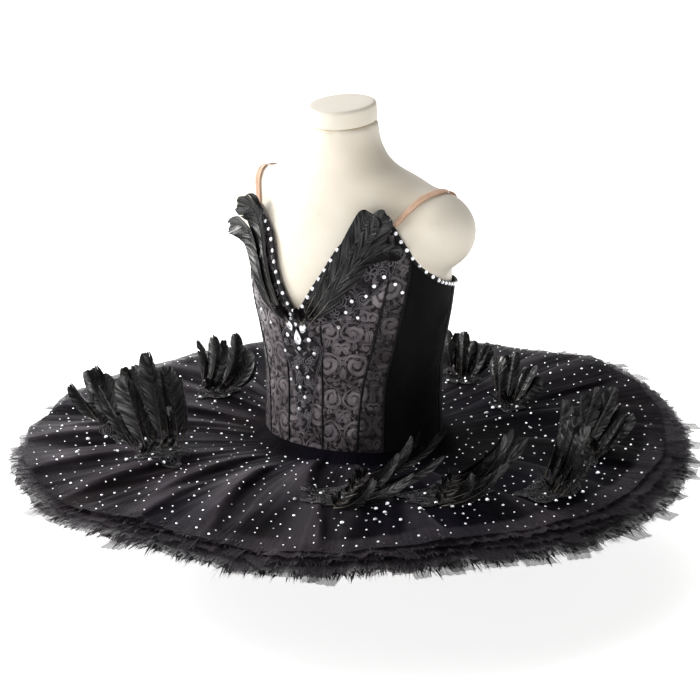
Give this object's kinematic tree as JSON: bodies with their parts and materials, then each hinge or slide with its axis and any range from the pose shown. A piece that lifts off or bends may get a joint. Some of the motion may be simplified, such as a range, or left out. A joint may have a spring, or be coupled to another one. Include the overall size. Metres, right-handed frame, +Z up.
{
  "type": "ballet tutu on dress form",
  "caption": "Pancake ballet tutu: boned strap bodice over a stack of stiff gathered net, with lace, stones and feather sprays, on a limbless child's dress form with a flat base.",
  "frame": {"origin": "centre of the dress form's flat base, on the surface it stands on", "axes": "+Z up, -Y the way the wearer faces, +X the wearer's left"},
  "size_m": [0.797, 0.797, 0.5312],
  "materials": {
    "form_ivory": "smooth ivory paint on a hollow display form",
    "brocade": "black brocade with a mauve-grey satin scroll figure",
    "velvet": "black velvet with a short soft nap",
    "basque_cloth": "plain matt black power net",
    "net": "stiff black net, gathered, with frayed cut edges; the top one is dotted with small stones",
    "lace": "corded black lace with a soft shine",
    "edging": "black corded braid set with clear stones",
    "strap": "flesh-coloured satin elastic",
    "feather": "glossy black dyed feathers",
    "jewel": "clear cut stones in a silvered setting"
  },
  "bodies": {
    "root": {"armhole_trim_left": "edging", "armhole_trim_right": "edging", "basque": "basque_cloth", "bodice_back_left": "velvet", "bodice_back_right": "velvet", "bodice_front_centre": "brocade", "bodice_princess_left": "brocade", "bodice_princess_right": "brocade", "bodice_side_front_left": "brocade", "bodice_side_front_right": "brocade", "bodice_side_left": "velvet", "bodice_side_right": "velvet", "feathers_neck_left": "feather", "feathers_neck_right": "feather", "feathers_skirt_1": "feather", "feathers_skirt_10": "feather", "feathers_skirt_2": "feather", "feathers_skirt_3": "feather", "feathers_skirt_4": "feather", "feathers_skirt_5": "feather", "feathers_skirt_6": "feather", "feathers_skirt_7": "feather", "feathers_skirt_8": "feather", "feathers_skirt_9": "feather", "form_neck_cap": "form_ivory", "form_torso": "form_ivory", "jewel_centre": "jewel", "knicker": "basque_cloth", "lace_bust_left": "lace", "lace_bust_right": "lace", "lace_centre": "lace", "lace_skirt_1": "lace", "lace_skirt_10": "lace", "lace_skirt_2": "lace", "lace_skirt_3": "lace", "lace_skirt_4": "lace", "lace_skirt_5": "lace", "lace_skirt_6": "lace", "lace_skirt_7": "lace", "lace_skirt_8": "lace", "lace_skirt_9": "lace", "neckline_trim_left": "edging", "neckline_trim_right": "edging", "skirt_layer_1": "net", "skirt_layer_2": "net", "skirt_layer_3": "net", "skirt_layer_4": "net", "skirt_layer_5": "net", "skirt_top_plate": "net", "strap_left": "strap", "strap_right": "strap"}
  },
  "joints": []
}
